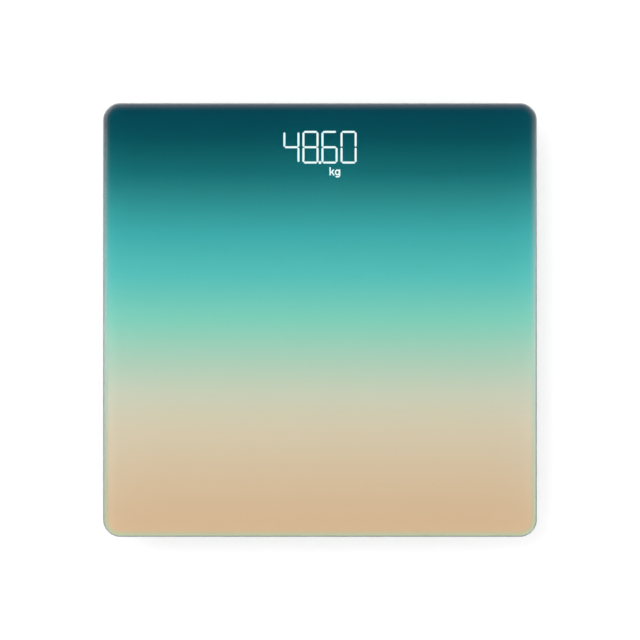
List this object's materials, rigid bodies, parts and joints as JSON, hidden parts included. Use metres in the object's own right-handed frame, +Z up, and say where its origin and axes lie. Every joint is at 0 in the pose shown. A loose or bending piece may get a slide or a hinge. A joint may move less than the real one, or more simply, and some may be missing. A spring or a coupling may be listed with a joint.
{
  "type": "digital bathroom scale",
  "caption": "Square glass body scale: back-printed glass platform on a shallow tray with load-cell feet, hidden lit display, unit button and battery door.",
  "frame": {"origin": "on the floor under the centre of the platform", "axes": "+Z up through the platform, +Y towards the display edge where the toes point, +X to the right when standing on it facing the display"},
  "size_m": [0.28, 0.28, 0.024],
  "materials": {
    "platform_glass": "clear toughened glass, polished rounded edge",
    "printed_film": "gloss back print seen through the glass, dark teal at the display end to warm sand",
    "rim_tape": "white foam tape",
    "support_tapes": "white foam tape",
    "base_tray": "fine-textured moulded white plastic",
    "gauge_seals": "white silicone",
    "bracket_screws": "zinc-plated screws",
    "circuit_board": "green solder mask",
    "board_screws": "zinc-plated screws",
    "controller_chip": "black epoxy case with tinned legs",
    "board_components": "dark moulded components",
    "display_reflector": "white moulded reflector",
    "display_segments": "clear light guides, lit white in the reading",
    "led_chips": "phosphor-coated chips",
    "display_diffuser": "milky film",
    "display_gasket": "black foam",
    "unit_switch": "black moulded switch",
    "unit_switch_plunger": "black plunger",
    "unit_button": "grey moulded button",
    "battery_1": "plain dark sleeve with bare metal ends",
    "battery_2": "plain dark sleeve with bare metal ends",
    "contact_plate_positive": "nickel-plated spring steel",
    "contact_spring_negative": "nickel-plated spring steel",
    "contact_bridge": "nickel-plated spring steel",
    "battery_door": "fine-textured moulded white plastic",
    "battery_door_pad": "black foam strip",
    "battery_lead_red": "red wire sleeve",
    "battery_lead_black": "black wire sleeve",
    "load_cell_front_left": "stamped spring-steel plate",
    "cell_bracket_front_left": "dark grey moulded plastic",
    "foot_front_left": "moulded white plastic",
    "foot_pad_front_left": "dark grey rubber with moulded rings",
    "cell_lead_front_left": "red, white and black wire sleeves",
    "load_cell_front_right": "stamped spring-steel plate",
    "cell_bracket_front_right": "dark grey moulded plastic",
    "foot_front_right": "moulded white plastic",
    "foot_pad_front_right": "dark grey rubber with moulded rings",
    "cell_lead_front_right": "red, white and black wire sleeves",
    "load_cell_rear_left": "stamped spring-steel plate",
    "cell_bracket_rear_left": "dark grey moulded plastic",
    "foot_rear_left": "moulded white plastic",
    "foot_pad_rear_left": "dark grey rubber with moulded rings",
    "cell_lead_rear_left": "red, white and black wire sleeves",
    "load_cell_rear_right": "stamped spring-steel plate",
    "cell_bracket_rear_right": "dark grey moulded plastic",
    "foot_rear_right": "moulded white plastic",
    "foot_pad_rear_right": "dark grey rubber with moulded rings",
    "cell_lead_rear_right": "red, white and black wire sleeves"
  },
  "bodies": {
    "platform": {"platform_glass": "platform_glass", "printed_film": "printed_film", "rim_tape": "rim_tape", "support_tapes": "support_tapes", "base_tray": "base_tray", "gauge_seals": "gauge_seals", "bracket_screws": "bracket_screws", "circuit_board": "circuit_board", "board_screws": "board_screws", "controller_chip": "controller_chip", "board_components": "board_components", "display_reflector": "display_reflector", "display_segments": "display_segments", "led_chips": "led_chips", "display_diffuser": "display_diffuser", "display_gasket": "display_gasket", "unit_switch": "unit_switch", "battery_1": "battery_1", "battery_2": "battery_2", "contact_plate_positive": "contact_plate_positive", "contact_spring_negative": "contact_spring_negative", "contact_bridge": "contact_bridge", "battery_lead_red": "battery_lead_red", "battery_lead_black": "battery_lead_black", "load_cell_front_left": "load_cell_front_left", "cell_bracket_front_left": "cell_bracket_front_left", "cell_lead_front_left": "cell_lead_front_left", "load_cell_front_right": "load_cell_front_right", "cell_bracket_front_right": "cell_bracket_front_right", "cell_lead_front_right": "cell_lead_front_right", "load_cell_rear_left": "load_cell_rear_left", "cell_bracket_rear_left": "cell_bracket_rear_left", "cell_lead_rear_left": "cell_lead_rear_left", "load_cell_rear_right": "load_cell_rear_right", "cell_bracket_rear_right": "cell_bracket_rear_right", "cell_lead_rear_right": "cell_lead_rear_right"},
    "battery_door": {"battery_door": "battery_door", "battery_door_pad": "battery_door_pad"},
    "unit_button": {"unit_button": "unit_button", "unit_switch_plunger": "unit_switch_plunger"},
    "foot_front_left": {"foot_front_left": "foot_front_left", "foot_pad_front_left": "foot_pad_front_left"},
    "foot_front_right": {"foot_front_right": "foot_front_right", "foot_pad_front_right": "foot_pad_front_right"},
    "foot_rear_left": {"foot_rear_left": "foot_rear_left", "foot_pad_rear_left": "foot_pad_rear_left"},
    "foot_rear_right": {"foot_rear_right": "foot_rear_right", "foot_pad_rear_right": "foot_pad_rear_right"}
  },
  "joints": [
    {"name": "foot_front_left_float", "type": "slide", "parent": "platform", "child": "foot_front_left", "axis": [0, 0, 1], "range_m": [-0.00055, 0]},
    {"name": "foot_front_right_float", "type": "slide", "parent": "platform", "child": "foot_front_right", "axis": [0, 0, 1], "range_m": [-0.00055, 0]},
    {"name": "foot_rear_left_float", "type": "slide", "parent": "platform", "child": "foot_rear_left", "axis": [0, 0, 1], "range_m": [-0.00055, 0]},
    {"name": "foot_rear_right_float", "type": "slide", "parent": "platform", "child": "foot_rear_right", "axis": [0, 0, 1], "range_m": [-0.00055, 0]},
    {"name": "battery_door_hinge", "type": "hinge", "parent": "platform", "child": "battery_door", "pos_m": [0, 0.0145, 0.0049], "axis": [1, 0, 0], "range_deg": [0, 40]},
    {"name": "unit_button_press", "type": "slide", "parent": "platform", "child": "unit_button", "axis": [0, 0, 1], "range_m": [0, 0.0005], "stiffness_N_per_m": 500, "springref_m": -0.0003}
  ]
}
